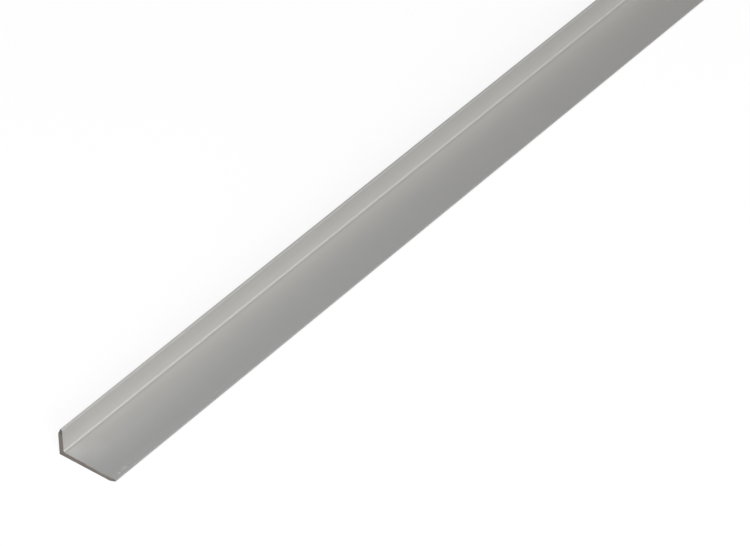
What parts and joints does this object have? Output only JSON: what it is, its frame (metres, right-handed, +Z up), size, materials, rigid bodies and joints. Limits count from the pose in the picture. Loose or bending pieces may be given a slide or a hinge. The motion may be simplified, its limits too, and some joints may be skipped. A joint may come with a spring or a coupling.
{
  "type": "metal angle section",
  "caption": "Length of thin unequal-leg metal angle with bevelled toes, for edging, bracing and joining panels.",
  "frame": {"origin": "middle of the footprint, on the plane that the long leg's outer face rests on", "axes": "+Y along the length, +Z up from the long leg's outer face towards the short leg's toe, +X from the heel towards the long leg's toe"},
  "size_m": [0.02, 1, 0.01],
  "materials": {
    "satin_aluminium": "satin silver, fine lines along the length"
  },
  "bodies": {
    "root": {"angle_section": "satin_aluminium"}
  },
  "joints": []
}
